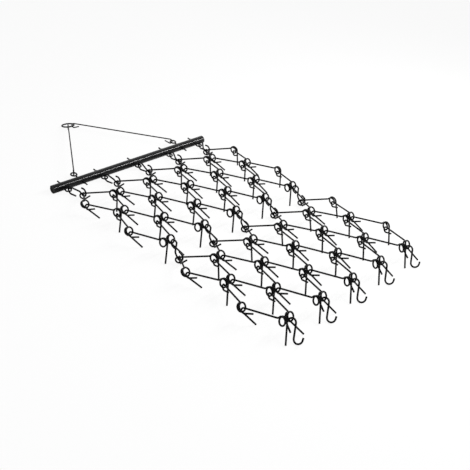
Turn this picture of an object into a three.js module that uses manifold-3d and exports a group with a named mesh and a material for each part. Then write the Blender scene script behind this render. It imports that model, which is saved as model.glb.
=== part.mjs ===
// Chain harrow (drag mat): a round drawbar with eye bolts, a folding tow triangle, and two mat
// sections of bent-bar tine links that hang on S-hooks. Millimetres, +Z up, +X towards the tow
// vehicle, +Y to its left. The harrow lies at rest on its tine tips, with the drawbar on the ground.
import * as THREE from 'three';
import { mergeVertices } from 'three/addons/utils/BufferGeometryUtils.js';
import Module from 'manifold-3d';

const wasm = await Module();
wasm.setup();

// Driving dimensions
const BAR_LENGTH = 1219;
const BAR_DIAMETER = 50.8;
const BAR_WALL = 3.2;
const BAR_ROLL_DEGREES = 4.5;
const BAR_EYE_PITCH = 266;
const TOW_EYE_OFFSET = 405;

const WIRE = 9.5;
const GAP = 0.4;

const COLUMN_PITCH = 251.3;
const COLUMNS = 5;
const LINK_PITCH = 192;
const FRONT_RUN = 145.2;
const RING_RADIUS = 23;
const RING_PAIR_OVERLAP = 1.1;
const RING_LEAN_DEGREES = 35;
const COIL_PITCH = 13.4;
const EYE_RADIUS = 16;
const EYE_PLAY = 3.3;
const EYE_SHIFT = 6;
const EYE_TAIL = 46;
const EYE_TAIL_RISE = 17;
const FRONT_EYE_REACH = 8;
const FRONT_EYE_DROP = 21.9;
const FRONT_TAIL_FLAT = 17;
const TINE_LENGTH = 123;
const TINE_SPLAY_DEGREES = 30;
const TIP_DEPTH = 3.9;

const HOOK_WIRE = 10;
const HOOK_RADIUS = 24;
const HOOK_CENTRES = 84;
const HOOK_LEG = 14;
const BAR_HOOK_LEG = 46;
const REAR_HOOK_LEG = 40;
const BAR_HOOK_PLAY = 12.2;
const MID_HOOK_PLAY = 12.9;
const REAR_HOOK_PLAY = 11.3;
const MID_LOOP_DROP = 1.2;
const HOOK_STRAIGHT = 28;
const BAR_HOOK_SEAT_DEGREES = 50;
const MID_HOOK_SHIFT = 6;
const REAR_HOOK_SHIFT = 3;
const REAR_HOOK_YAW_DEGREES = 20;
const REAR_HOOK_LEAN_DEGREES = 40;
const REAR_LOOP_RISE = 1;

const EYE_BOLT_RADIUS = 18;
const EYE_BOLT_REACH = 49;
const TOW_EYE_REACH = 74;
const BOLT_DIAMETER = 9.5;
const BOLT_STUB = 62;
const NUT_ACROSS_FLATS = 17;
const NUT_THICKNESS = 8;

const TOW_ROD_DIAMETER = 8;
const TOW_ROD_EYE_RADIUS = 15;
const TOW_ROD_PLAY = 3;
const TOW_ROD_TAIL = 36;
const TOW_ROD_TAIL_RISE = 14;
const TOW_RING_WIRE = 10;
const TOW_RING_RADIUS = 40;
const TOW_RING_STRAIGHT = 4;
const TOW_TRIANGLE_LENGTH = 600;

// Facet counts
const BAR_SIDES = 18;
const WIRE_SIDES = 5;
const BOLT_SIDES = 6;
const EYE_STEPS = 3;
const HOOK_STEPS = 6;
const COIL_STEPS = 8;
const COIL_STEP = Math.PI / 3;
const BOLT_RING_SEGMENTS = 12;
const TOW_RING_SEGMENTS = 8;

// Derived sizes
const HALF = 0.5;
const FULL_TURN = 2 * Math.PI;
const QUARTER = Math.PI / 2;
const radians = (degrees) => THREE.MathUtils.degToRad(degrees);
const RING_LEAN = radians(RING_LEAN_DEGREES);
const TINE_SPLAY = radians(TINE_SPLAY_DEGREES);
const BAR_ROLL = radians(BAR_ROLL_DEGREES);
const BAR_RADIUS = BAR_DIAMETER * HALF;
const RING_SPREAD = RING_RADIUS + (WIRE - RING_PAIR_OVERLAP) * HALF;
const COIL_START = COIL_STEP;
const LEAN_UP = new THREE.Vector3(Math.sin(RING_LEAN), 0, Math.cos(RING_LEAN));
const LEAN_BACK = new THREE.Vector3(-Math.cos(RING_LEAN), 0, Math.sin(RING_LEAN));

const paint = (name, color, roughness) => {
  const material = new THREE.MeshStandardMaterial({ color, roughness, metalness: 0.6 });
  material.name = name;
  return material;
};
const BAR_PAINT = paint('black_powder_coat', 0x141416, 0.35);
const LINK_PAINT = paint('black_dipped_paint', 0x101012, 0.45);
const HARDWARE_PAINT = paint('black_oxide', 0x1b1b1d, 0.5);

// The radius of the regular polygon that has the area of a circle, so that a faceted round bar
// keeps the real bar's weight.
const polygonRadius = (radius, sides) => {
  const corner = FULL_TURN / sides;
  return radius * Math.sqrt(FULL_TURN / (sides * Math.sin(corner)));
};
const HOOK_CORNER = polygonRadius(HOOK_WIRE * HALF, WIRE_SIDES);

const polygonShape = (radius, sides) => {
  const points = Array.from({ length: sides }, (_, index) => {
    const angle = (FULL_TURN * index) / sides;
    return new THREE.Vector2(radius * Math.cos(angle), radius * Math.sin(angle));
  });
  return new THREE.Shape(points);
};

// A bent bar's centreline: straight between its points, with a section at each point that is
// square to the mean of the two runs that meet there.
class BentBarCurve extends THREE.Curve {
  constructor(points) {
    super();
    this.points = points;
  }

  getPoint(t, target = new THREE.Vector3()) {
    const place = t * (this.points.length - 1);
    const index = Math.min(Math.floor(place), this.points.length - 2);
    return target.lerpVectors(this.points[index], this.points[index + 1], place - index);
  }

  getPointAt(u, target) {
    return this.getPoint(u, target);
  }

  getTangentAt(u, target = new THREE.Vector3()) {
    const last = this.points.length - 1;
    const index = Math.round(u * last);
    const here = this.points[index];
    const before = this.points[Math.max(index - 1, 0)];
    const after = this.points[Math.min(index + 1, last)];
    const arriving = here.clone().sub(before).normalize();
    const leaving = after.clone().sub(here).normalize();
    return target.copy(arriving).add(leaving).normalize();
  }
}

const bentBar = (points, diameter, sides = WIRE_SIDES) => {
  const shape = polygonShape(polygonRadius(diameter * HALF, sides), sides);
  const extrudePath = new BentBarCurve(points);
  return new THREE.ExtrudeGeometry(shape, { steps: points.length - 1, extrudePath });
};

// Solid operations
const signedVolume = (geometry) => {
  const position = geometry.attributes.position;
  const corner = [new THREE.Vector3(), new THREE.Vector3(), new THREE.Vector3()];
  let sum = 0;
  for (let index = 0; index < geometry.index.count; index += corner.length) {
    corner.forEach((point, offset) => {
      point.fromBufferAttribute(position, geometry.index.getX(index + offset));
    });
    sum += corner[0].dot(corner[1].clone().cross(corner[2]));
  }
  return sum;
};

const weld = (geometry) => {
  const bare = geometry.clone();
  bare.deleteAttribute('normal');
  bare.deleteAttribute('uv');
  return mergeVertices(bare);
};

const toSolid = (geometry) => {
  const welded = weld(geometry);
  const triVerts = Uint32Array.from(welded.index.array);
  if (signedVolume(welded) < 0) {
    triVerts.reverse();
  }
  const vertProperties = Float32Array.from(welded.attributes.position.array);
  return new wasm.Manifold(new wasm.Mesh({ numProp: 3, vertProperties, triVerts }));
};

const toGeometry = (solid) => {
  const mesh = solid.getMesh();
  const geometry = new THREE.BufferGeometry();
  geometry.setAttribute('position', new THREE.BufferAttribute(mesh.vertProperties, mesh.numProp));
  geometry.setIndex(new THREE.BufferAttribute(mesh.triVerts, 1));
  geometry.computeVertexNormals();
  return geometry;
};

const join = (solids) => solids.reduce((total, solid) => total.add(solid));

const addPiece = (group, name, solid, material) => {
  const mesh = new THREE.Mesh(toGeometry(solid), material);
  mesh.name = name;
  group.add(mesh);
  return mesh;
};

const cylinderAlongX = (radius, length, sides, middle) => {
  const geometry = new THREE.CylinderGeometry(
    polygonRadius(radius, sides), polygonRadius(radius, sides), length, sides);
  geometry.rotateZ(QUARTER);
  geometry.translate(middle.x, middle.y, middle.z);
  return geometry;
};

// Drawbar: a steel tube closed at both ends, with a cross hole for each bolt.
const places = (count, pitch) => Array.from(
  { length: count }, (_, index) => ((count - 1) * HALF - index) * pitch);
const BAR_EYES = places(COLUMNS, BAR_EYE_PITCH);
const TOW_EYES = [TOW_EYE_OFFSET, -TOW_EYE_OFFSET];

const drawbarSolid = () => {
  const outer = new THREE.CylinderGeometry(BAR_RADIUS, BAR_RADIUS, BAR_LENGTH, BAR_SIDES);
  const boreRadius = BAR_RADIUS - BAR_WALL;
  const boreLength = BAR_LENGTH - 2 * BAR_WALL;
  const bore = new THREE.CylinderGeometry(boreRadius, boreRadius, boreLength, BAR_SIDES);
  let solid = toSolid(outer).subtract(toSolid(bore));
  const holeRadius = BOLT_DIAMETER * HALF + GAP;
  for (const y of [...BAR_EYES, ...TOW_EYES]) {
    const middle = new THREE.Vector3(0, y, 0);
    solid = solid.subtract(toSolid(cylinderAlongX(holeRadius, 2 * BAR_DIAMETER, BOLT_SIDES, middle)));
  }
  return solid;
};

// Eye bolt: a flat eye with a shank through the bar and a hex nut on the far side.
// facing is +1 when the eye is in front of the bar and -1 when it is behind.
const eyeBoltSolid = (y, facing, reach) => {
  const section = polygonRadius(BOLT_DIAMETER * HALF, BOLT_SIDES);
  const profile = Array.from({ length: BOLT_SIDES + 1 }, (_, index) => {
    const angle = (FULL_TURN * index) / BOLT_SIDES;
    const out = EYE_BOLT_RADIUS + section * Math.cos(angle);
    return new THREE.Vector2(out, section * Math.sin(angle));
  });
  const eye = new THREE.LatheGeometry(profile, BOLT_RING_SEGMENTS);
  eye.rotateX(QUARTER);
  eye.translate(facing * reach, y, 0);

  const shankStart = reach - EYE_BOLT_RADIUS;
  const shankLength = shankStart + BOLT_STUB;
  const shankMiddle = new THREE.Vector3(facing * (shankStart - shankLength * HALF), y, 0);
  const shank = cylinderAlongX(BOLT_DIAMETER * HALF, shankLength, BOLT_SIDES, shankMiddle);

  const nutMiddle = new THREE.Vector3(-facing * (BAR_RADIUS + GAP + NUT_THICKNESS * HALF), y, 0);
  const nutRadius = NUT_ACROSS_FLATS * HALF / Math.cos(Math.PI / BOLT_SIDES);
  const nut = new THREE.CylinderGeometry(nutRadius, nutRadius, NUT_THICKNESS, BOLT_SIDES);
  nut.rotateZ(QUARTER);
  nut.translate(nutMiddle.x, nutMiddle.y, nutMiddle.z);
  return join([toSolid(eye), toSolid(shank), toSolid(nut)]);
};

// Tine rod. It runs back and to the right, so that its ring's outer side is the left one, and
// half of the rods are its mirror image. A rod's own frame has its hinge at the origin.
const coilPoint = (centre, angle) => {
  const climb = COIL_PITCH * (angle - COIL_START) / FULL_TURN;
  const point = centre.clone();
  point.y += RING_RADIUS * Math.cos(angle);
  point.addScaledVector(LEAN_UP, RING_RADIUS * Math.sin(angle));
  return point.addScaledVector(LEAN_BACK, climb);
};

// The middle of the ring's straight bottom edge, which carries the next row's eyes.
const ORIGIN = new THREE.Vector3();
const SEAT = coilPoint(ORIGIN, 4 * COIL_STEP)
  .add(coilPoint(ORIGIN, 5 * COIL_STEP))
  .multiplyScalar(HALF);

const tinePoint = (centre) => {
  const root = coilPoint(centre, COIL_START + COIL_STEPS * COIL_STEP);
  root.y += TINE_LENGTH * Math.sin(TINE_SPLAY);
  return root.addScaledVector(LEAN_UP, -TINE_LENGTH * Math.cos(TINE_SPLAY));
};

// An upright eye: its cut tail, and its bend round to where the shank leaves it.
// forward is the level direction in which the eye points.
const eyePoints = (centre, forward, radius, tails) => {
  const place = (along, up) => centre.clone()
    .addScaledVector(forward, along)
    .add(new THREE.Vector3(0, 0, up));
  const points = tails.map(([along, up]) => place(-along, up - radius));
  for (let index = 0; index <= EYE_STEPS; index += 1) {
    const angle = -QUARTER + (Math.PI * index) / EYE_STEPS;
    points.push(place(radius * Math.cos(angle), radius * Math.sin(angle)));
  }
  return points;
};

const LINK_TAILS = [[EYE_TAIL, EYE_TAIL_RISE]];
const FRONT_TAILS = [[EYE_TAIL, EYE_TAIL_RISE], [FRONT_TAIL_FLAT, 0]];

// A right-hand rod, from its eye to its tine.
const rodSolid = ({ anchor, reach, centre, tails }) => {
  const arrival = coilPoint(centre, COIL_START);
  const forward = new THREE.Vector3(anchor.x - arrival.x, anchor.y - arrival.y, 0).normalize();
  const eye = anchor.clone().addScaledVector(forward, reach);
  const points = eyePoints(eye, forward, EYE_RADIUS, tails);
  for (let step = 0; step <= COIL_STEPS; step += 1) {
    points.push(coilPoint(centre, COIL_START + step * COIL_STEP));
  }
  points.push(tinePoint(centre));
  return toSolid(bentBar(points, WIRE));
};

// Where a row's rods have their eyes and rings, in the row's own frame.
const FRONT_ROW = {
  anchorHeight: -FRONT_EYE_DROP,
  eyeSide: 0,
  reach: FRONT_EYE_REACH,
  run: FRONT_RUN,
  rise: -FRONT_EYE_DROP - SEAT.z,
  tails: FRONT_TAILS,
};
const LINK_ROW = {
  anchorHeight: 0,
  eyeSide: RING_SPREAD + EYE_SHIFT,
  reach: -EYE_PLAY,
  run: LINK_PITCH + SEAT.x,
  rise: -SEAT.z,
  tails: LINK_TAILS,
};

// The rods of one row, grouped by the column behind them where their rings meet.
const rowClusters = (frontCount, row) => {
  const rearCount = frontCount === COLUMNS ? COLUMNS + 1 : COLUMNS;
  return places(rearCount, COLUMN_PITCH).map((column) => {
    const rods = [];
    for (const hand of [1, -1]) {
      const front = column + hand * COLUMN_PITCH * HALF;
      if (Math.abs(front) < frontCount * COLUMN_PITCH * HALF) {
        const anchor = new THREE.Vector3(0, hand * front - row.eyeSide, row.anchorHeight);
        const centre = new THREE.Vector3(-row.run, hand * column + RING_SPREAD, row.rise);
        const rod = rodSolid({ anchor, reach: row.reach, centre, tails: row.tails });
        rods.push(hand > 0 ? rod : rod.mirror([0, 1, 0]));
      }
    }
    return join(rods);
  });
};

// A row pitches about its hinge until its tine tips reach the ground.
const rowPitch = (hingeHeight, row) => {
  const tip = tinePoint(new THREE.Vector3(-row.run, 0, row.rise));
  const drop = TIP_DEPTH - hingeHeight;
  return Math.asin(drop / Math.hypot(tip.x, tip.z)) - Math.atan2(tip.z, -tip.x);
};

// S-hook in its own level frame: front loop at the origin, rear loop HOOK_CENTRES behind it and
// set aside sideways. The shank crosses from the front loop's top to the rear loop's bottom.
const hookSolid = (aside, frontLeg) => {
  const contact = Math.acos((2 * HOOK_RADIUS) / HOOK_CENTRES);
  const sweep = QUARTER + Math.PI - contact;
  const along = Math.sqrt(HOOK_CENTRES ** 2 - (2 * HOOK_RADIUS) ** 2);
  const points = [new THREE.Vector3(-frontLeg, 0, -HOOK_RADIUS)];
  for (let index = 0; index <= HOOK_STEPS; index += 1) {
    const angle = -QUARTER + (sweep * index) / HOOK_STEPS;
    points.push(new THREE.Vector3(HOOK_RADIUS * Math.cos(angle), 0, HOOK_RADIUS * Math.sin(angle)));
  }
  const leave = points[points.length - 1];
  const rear = [];
  for (let index = 0; index <= HOOK_STEPS; index += 1) {
    const angle = -contact - (sweep * index) / HOOK_STEPS;
    rear.push(new THREE.Vector3(
      -HOOK_CENTRES + HOOK_RADIUS * Math.cos(angle), aside, HOOK_RADIUS * Math.sin(angle)));
  }
  const straight = leave.clone().setY(aside).lerp(rear[0], 1 - HOOK_STRAIGHT / along);
  const leg = new THREE.Vector3(-HOOK_CENTRES + HOOK_LEG, aside, HOOK_RADIUS);
  return toSolid(bentBar([...points, straight, ...rear, leg], HOOK_WIRE));
};

// A hook's front loop sits off its seat by the play in the loop, and its rear loop is level with
// rearHeight. Returns the frame of the hook.
const hookFrame = (seat, play, seatAngle, rearHeight) => {
  const group = new THREE.Group();
  group.position.set(
    seat.x - play * Math.cos(seatAngle), seat.y, seat.z + play * Math.sin(seatAngle));
  group.rotation.y = Math.asin((rearHeight - group.position.z) / HOOK_CENTRES);
  return group;
};
const pulledAngle = (seat, play, rearHeight) => Math.asin(
  (rearHeight - seat.z) / (HOOK_CENTRES + play));
const rearLoop = (group) => new THREE.Vector3(
  group.position.x - HOOK_CENTRES * Math.cos(group.rotation.y),
  0,
  group.position.z + HOOK_CENTRES * Math.sin(group.rotation.y));

// Assembly
const harrow = new THREE.Group();
const drawbar = new THREE.Group();
drawbar.position.z = BAR_RADIUS;
drawbar.rotation.y = -BAR_ROLL;
harrow.add(drawbar);
addPiece(drawbar, 'drawbar', drawbarSolid(), BAR_PAINT);
BAR_EYES.forEach((y, index) => {
  addPiece(drawbar, `eye_bolt_${index + 1}`, eyeBoltSolid(y, -1, EYE_BOLT_REACH), HARDWARE_PAINT);
});
TOW_EYES.forEach((y, index) => {
  addPiece(drawbar, `tow_eye_bolt_${index + 1}`, eyeBoltSolid(y, 1, TOW_EYE_REACH), HARDWARE_PAINT);
});
const onBar = (along) => new THREE.Vector3(
  along * Math.cos(BAR_ROLL), 0, BAR_RADIUS + along * Math.sin(BAR_ROLL));

// A row of hooks in a frame. seatPlaces are the columns of their seats, rearPlaces those of the
// rear loops, and leg is how far the front loop's cut end runs back.
const addHooks = (prefix, frame, leg, seatPlaces, rearPlaces) => {
  harrow.add(frame);
  seatPlaces.forEach((y, index) => {
    const solid = hookSolid(rearPlaces[index] - y, leg).translate([0, y, 0]);
    addPiece(frame, `${prefix}_${index + 1}`, solid, HARDWARE_PAINT);
  });
  return rearLoop(frame);
};

// A row of rods on its hinge. Returns the place of the seats for what hangs on its rings.
const addRow = (name, hinge, frontCount, row, fused) => {
  const group = new THREE.Group();
  group.position.copy(hinge);
  group.rotation.y = rowPitch(hinge.z, row);
  harrow.add(group);
  const clusters = rowClusters(frontCount, row);
  if (fused) {
    addPiece(group, name, join(clusters), LINK_PAINT);
  } else {
    clusters.forEach((solid, index) => {
      addPiece(group, `${name}_${index + 1}`, solid, LINK_PAINT);
    });
  }
  const seat = new THREE.Vector3(SEAT.x - row.run, 0, SEAT.z + row.rise);
  return seat.applyAxisAngle(new THREE.Vector3(0, 1, 0), group.rotation.y).add(hinge);
};

const HOOK_COLUMNS = places(COLUMNS, COLUMN_PITCH);
const MID_SEATS = HOOK_COLUMNS.map((y) => y - RING_SPREAD - MID_HOOK_SHIFT);
const REAR_SEATS = HOOK_COLUMNS.map((y) => y - RING_SPREAD + REAR_HOOK_SHIFT);
const FRONT_HEIGHT = FRONT_EYE_DROP + EYE_RADIUS + HOOK_CORNER;

const addSection = (firstRow, frontLoops) => {
  let seat = addRow(`row_${firstRow}`, frontLoops, COLUMNS, FRONT_ROW, true);
  seat = addRow(`row_${firstRow + 1}`, seat, COLUMNS + 1, LINK_ROW, false);
  seat = addRow(`row_${firstRow + 2}`, seat, COLUMNS, LINK_ROW, false);
  return addRow(`row_${firstRow + 3}`, seat, COLUMNS + 1, LINK_ROW, false);
};

const barSeat = onBar(-EYE_BOLT_REACH - EYE_BOLT_RADIUS);
const barHookSeat = radians(BAR_HOOK_SEAT_DEGREES);
const barFrame = hookFrame(barSeat, BAR_HOOK_PLAY, barHookSeat, FRONT_HEIGHT);
const frontLoops = addHooks('bar_hook', barFrame, BAR_HOOK_LEG, BAR_EYES, HOOK_COLUMNS);
const midSeat = addSection(1, frontLoops);
const MID_LOOP_HEIGHT = FRONT_HEIGHT - MID_LOOP_DROP;
const midPull = pulledAngle(midSeat, MID_HOOK_PLAY, MID_LOOP_HEIGHT);
const midFrame = hookFrame(midSeat, MID_HOOK_PLAY, midPull, MID_LOOP_HEIGHT);
const middleLoops = addHooks('mid_hook', midFrame, HOOK_LEG, MID_SEATS, HOOK_COLUMNS);
middleLoops.z = FRONT_HEIGHT;
const rearSeat = addSection(5, middleLoops);

// The rear hooks hang free, turned a little to the left and fallen over to the right, so that
// the low side of each rear loop lies on the ground.
const REAR_HOOK_LEAN = radians(REAR_HOOK_LEAN_DEGREES);
const REAR_LOOP_DROP = HOOK_RADIUS * Math.cos(REAR_HOOK_LEAN) + REAR_LOOP_RISE;
const REAR_LOOP_HEIGHT = REAR_LOOP_DROP + HOOK_CORNER;
REAR_SEATS.forEach((y, index) => {
  const yaw = new THREE.Group();
  yaw.position.set(rearSeat.x, y, 0);
  yaw.rotation.z = -radians(REAR_HOOK_YAW_DEGREES);
  harrow.add(yaw);
  const seat = new THREE.Vector3(0, 0, rearSeat.z);
  const pull = pulledAngle(seat, REAR_HOOK_PLAY, REAR_LOOP_HEIGHT);
  const frame = hookFrame(seat, REAR_HOOK_PLAY, pull, REAR_LOOP_HEIGHT);
  yaw.add(frame);
  const hook = addPiece(frame, `rear_hook_${index + 1}`, hookSolid(0, REAR_HOOK_LEG), HARDWARE_PAINT);
  hook.rotation.x = REAR_HOOK_LEAN;
});

// Tow triangle: the rods run from the tow eyes to the ring's rear bend.
const TOW_ROD_CORNER = polygonRadius(TOW_ROD_DIAMETER * HALF, WIRE_SIDES);
const towYaw = Math.atan2(TOW_EYE_OFFSET, TOW_TRIANGLE_LENGTH);
const towEye = onBar(TOW_EYE_REACH);
const rodStart = new THREE.Vector3(
  towEye.x + EYE_BOLT_RADIUS * Math.cos(towYaw),
  TOW_EYE_OFFSET - EYE_BOLT_RADIUS * Math.sin(towYaw),
  towEye.z + EYE_BOLT_RADIUS * Math.cos(towYaw) * Math.sin(BAR_ROLL));
const rodEnd = new THREE.Vector3(
  towEye.x + TOW_TRIANGLE_LENGTH,
  TOW_RING_RADIUS * Math.sin(towYaw),
  TOW_ROD_EYE_RADIUS + TOW_ROD_CORNER);

const towRodSolid = () => {
  const level = new THREE.Vector3(rodEnd.x - rodStart.x, rodEnd.y - rodStart.y, 0);
  const length = Math.hypot(level.length(), rodEnd.z - rodStart.z);
  const forward = new THREE.Vector3(1, 0, 0);
  const backward = new THREE.Vector3(-1, 0, 0);
  const tails = [[TOW_ROD_TAIL, TOW_ROD_TAIL_RISE]];
  const rearEye = new THREE.Vector3(TOW_ROD_PLAY, 0, 0);
  const frontEye = new THREE.Vector3(length - TOW_ROD_PLAY, 0, 0);
  const rear = eyePoints(rearEye, backward, TOW_ROD_EYE_RADIUS, tails);
  const front = eyePoints(frontEye, forward, TOW_ROD_EYE_RADIUS, tails).reverse();
  return toSolid(bentBar([...rear, ...front], TOW_ROD_DIAMETER));
};

const towRodFrame = (side) => {
  const group = new THREE.Group();
  group.position.set(rodStart.x, side * rodStart.y, rodStart.z);
  const run = rodEnd.x - rodStart.x;
  const inward = rodEnd.y - rodStart.y;
  group.rotation.order = 'ZYX';
  group.rotation.z = side * Math.atan2(inward, run);
  group.rotation.y = Math.atan2(rodStart.z - rodEnd.z, Math.hypot(run, inward));
  return group;
};
[1, -1].forEach((side, index) => {
  const frame = towRodFrame(side);
  harrow.add(frame);
  addPiece(frame, `tow_rod_${index + 1}`, towRodSolid(), HARDWARE_PAINT);
});

// Oval ring with an eight-sided section.
const ovalPath = (target, radius) => {
  target.moveTo(0, radius);
  target.absarc(0, 0, radius, QUARTER, QUARTER + Math.PI, false);
  target.lineTo(TOW_RING_STRAIGHT, -radius);
  target.absarc(TOW_RING_STRAIGHT, 0, radius, -QUARTER, QUARTER, false);
  target.lineTo(0, radius);
  return target;
};
const towRingSolid = () => {
  const chamfer = TOW_RING_WIRE * (1 - Math.SQRT1_2);
  const flat = TOW_RING_WIRE - 2 * chamfer;
  const outline = ovalPath(new THREE.Shape(), TOW_RING_RADIUS + flat * HALF);
  outline.holes.push(ovalPath(new THREE.Path(), TOW_RING_RADIUS - flat * HALF));
  const geometry = new THREE.ExtrudeGeometry(outline, {
    depth: flat,
    bevelEnabled: true,
    bevelThickness: chamfer,
    bevelSize: chamfer,
    bevelSegments: 1,
    curveSegments: TOW_RING_SEGMENTS,
  });
  geometry.translate(TOW_RING_RADIUS * Math.cos(towYaw), 0, -flat * HALF);
  return toSolid(geometry);
};
const ringFrame = new THREE.Group();
ringFrame.position.set(rodEnd.x, 0, rodEnd.z);
const ringReach = TOW_RING_RADIUS * (1 + Math.cos(towYaw)) + TOW_RING_STRAIGHT;
ringFrame.rotation.y = Math.asin((rodEnd.z - TOW_RING_WIRE * HALF) / ringReach);
harrow.add(ringFrame);
addPiece(ringFrame, 'tow_ring', towRingSolid(), HARDWARE_PAINT);

// The part's origin is the bottom centre of its box.
harrow.updateMatrixWorld(true);
const box = new THREE.Box3().setFromObject(harrow, true);
const middle = box.getCenter(new THREE.Vector3());
harrow.children.forEach((child) => {
  child.position.x -= middle.x;
  child.position.y -= middle.y;
  child.position.z -= box.min.z;
});

export default harrow;
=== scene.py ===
"""Chain harrow: a round drawbar with eye bolts and a tow triangle, and a mat of bent tine rods.

Sizes are in millimetres and are turned to metres when a mesh is made. +X points to the tow
ring, +Y to the harrow's left and +Z up.
"""

import logging
import math
from dataclasses import dataclass, field
from enum import Enum
from typing import Any, Callable, ClassVar, Optional, Sequence

import bpy
from mathutils import Matrix, Quaternion, Vector


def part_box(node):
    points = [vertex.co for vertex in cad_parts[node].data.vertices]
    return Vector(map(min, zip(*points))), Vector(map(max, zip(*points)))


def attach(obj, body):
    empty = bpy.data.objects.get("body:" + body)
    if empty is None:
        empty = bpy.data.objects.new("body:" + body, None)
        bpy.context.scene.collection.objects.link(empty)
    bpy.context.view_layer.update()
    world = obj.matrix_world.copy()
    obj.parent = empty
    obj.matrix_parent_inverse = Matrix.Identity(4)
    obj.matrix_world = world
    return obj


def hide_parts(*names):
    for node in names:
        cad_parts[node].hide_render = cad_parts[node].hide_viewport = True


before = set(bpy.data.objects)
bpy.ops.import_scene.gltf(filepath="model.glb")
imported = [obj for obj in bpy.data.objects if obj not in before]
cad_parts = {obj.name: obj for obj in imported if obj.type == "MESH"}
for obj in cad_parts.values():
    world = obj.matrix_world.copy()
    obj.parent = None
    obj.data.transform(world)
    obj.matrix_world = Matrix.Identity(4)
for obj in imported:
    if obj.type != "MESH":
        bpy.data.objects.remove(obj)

LOG = logging.getLogger("chain_harrow")
MM = 0.001
# The largest turn between two points of an arc or a bend.
ARC_STEP = math.radians(11)
# A face that meets the next at a greater angle than this has a sharp edge.
SHARP_ANGLE = math.radians(38)
# A turned profile ends on a ring of this radius instead of on its axis.
POINT_RADIUS = 0.01
# Facets round a rod, and the broken edge of its cut ends.
ROD_SIDES = 14
CUT_CHAMFER = 0.8
# Corners that turn less than this stay as they are. A bend takes at most this share of the
# runs beside it, and has at least this many steps.
STRAIGHT_TURN = math.radians(13)
BEND_SHARE = 0.48
BEND_STEPS = 3
# The sRGB curve: the end and slope of its straight part, the offset and power of the rest.
SRGB_KNEE, SRGB_SLOPE, SRGB_OFFSET, SRGB_POWER = 0.04045, 12.92, 0.055, 2.4
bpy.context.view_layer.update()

# Linear red, green, blue and alpha.
Colour = tuple[float, float, float, float]
# Pairs of millimetres, or of millimetres and a share.
Pairs = tuple[tuple[float, float], ...]


class Hand(Enum):
    """Which way a tine rod runs as it goes back from its eye."""

    RIGHT = 1
    LEFT = -1


class Slot(Enum):
    """The record's material slots."""

    BAR = "bar_paint"
    ROD = "rod_paint"
    HARDWARE = "hardware_paint"


# ---------------------------------------------------------------- sizes


@dataclass(frozen=True)
class MatSizes:
    """Sizes that the rows of the mat and the hooks share."""

    # The rods' stock, and the grid of rows and columns.
    wire: float = 9.5
    column_pitch: float = 251.3
    columns: int = 5
    link_pitch: float = 192.0
    front_run: float = 145.2
    # The ring coils. Two rings that meet sink into each other by the overlap.
    ring_radius: float = 23.0
    ring_overlap: float = 1.1
    ring_lean: float = math.radians(35)
    coil_pitch: float = 13.4
    # The rods' eyes and their cut tails.
    eye_radius: float = 16.0
    eye_play: float = 3.3
    eye_shift: float = 6.0
    eye_tail: float = 46.0
    eye_tail_rise: float = 17.0
    front_eye_reach: float = 8.0
    front_eye_drop: float = 21.9
    front_tail_flat: float = 17.0
    # The tines. The depth is the height of a tip's middle over the ground.
    tine_length: float = 123.0
    tine_splay: float = math.radians(30)
    tip_depth: float = 3.9
    # The hooks. The corner is the solids' wire radius at its corners, on which it rests.
    hook_wire: float = 10.0
    hook_radius: float = 24.0
    hook_corner: float = 5.7477
    hook_centres: float = 84.0
    hook_leg: float = 14.0
    bar_hook_leg: float = 46.0
    rear_hook_leg: float = 40.0
    # A bent hook's shank ends with a straight run of this length.
    hook_straight: float = 28.0
    # How far the loops' centres stand from the middle of the wire that they go round.
    bar_hook_play: float = 12.2
    mid_hook_play: float = 12.9
    rear_hook_play: float = 11.3
    # Small shifts that give each hook its gap.
    mid_loop_drop: float = 1.2
    mid_hook_shift: float = 6.0
    rear_hook_shift: float = 3.0
    # How the hooks lie at rest.
    bar_hook_seat: float = math.radians(50)
    rear_hook_yaw: float = math.radians(20)
    rear_hook_lean: float = math.radians(40)
    rear_loop_rise: float = 1.0
    # The free hooks' rear loops stop this much sooner than those that hold a row.
    rear_mouth: float = math.radians(44)

    @property
    def ring_spread(self) -> float:
        """Sideways distance from a column to each of its two ring centres."""
        return self.ring_radius + (self.wire - self.ring_overlap) / 2

    @property
    def front_height(self) -> float:
        """Height of the hinge of a section's first row."""
        return self.front_eye_drop + self.eye_radius + self.hook_corner


@dataclass(frozen=True)
class BarSizes:
    """Sizes of the drawbar, its bolts and the tow triangle."""

    # The tube, which is rolled forward a little.
    length: float = 1219.0
    radius: float = 25.4
    roll: float = math.radians(4.5)
    # The bolts: places along the bar, eyes, shanks and nuts.
    eye_pitch: float = 266.0
    tow_eye_offset: float = 405.0
    eye_radius: float = 18.0
    bolt: float = 9.5
    eye_reach: float = 49.0
    tow_eye_reach: float = 74.0
    stub: float = 62.0
    nut_flats: float = 17.0
    nut_thickness: float = 8.0
    gap: float = 0.4
    # The tow rods. The corner is the solids' wire radius at its corners, on which they rest.
    rod: float = 8.0
    rod_corner: float = 4.5982
    rod_eye_radius: float = 15.0
    rod_play: float = 3.0
    rod_tail: float = 36.0
    rod_tail_rise: float = 14.0
    # The tow ring, and how far ahead of the bolts' eyes it lies.
    ring_wire: float = 10.0
    ring_radius: float = 40.0
    ring_straight: float = 4.0
    triangle_length: float = 600.0


MAT = MatSizes()
BAR = BarSizes()
_BAR_LOW, _BAR_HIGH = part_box("drawbar")
ORIGIN = Vector((
    (_BAR_LOW[0] + _BAR_HIGH[0]) / 2 / MM,
    0.0,
    (_BAR_LOW[2] + _BAR_HIGH[2]) / 2 / MM - BAR.radius,
))


# ---------------------------------------------------------------- finishes


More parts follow.
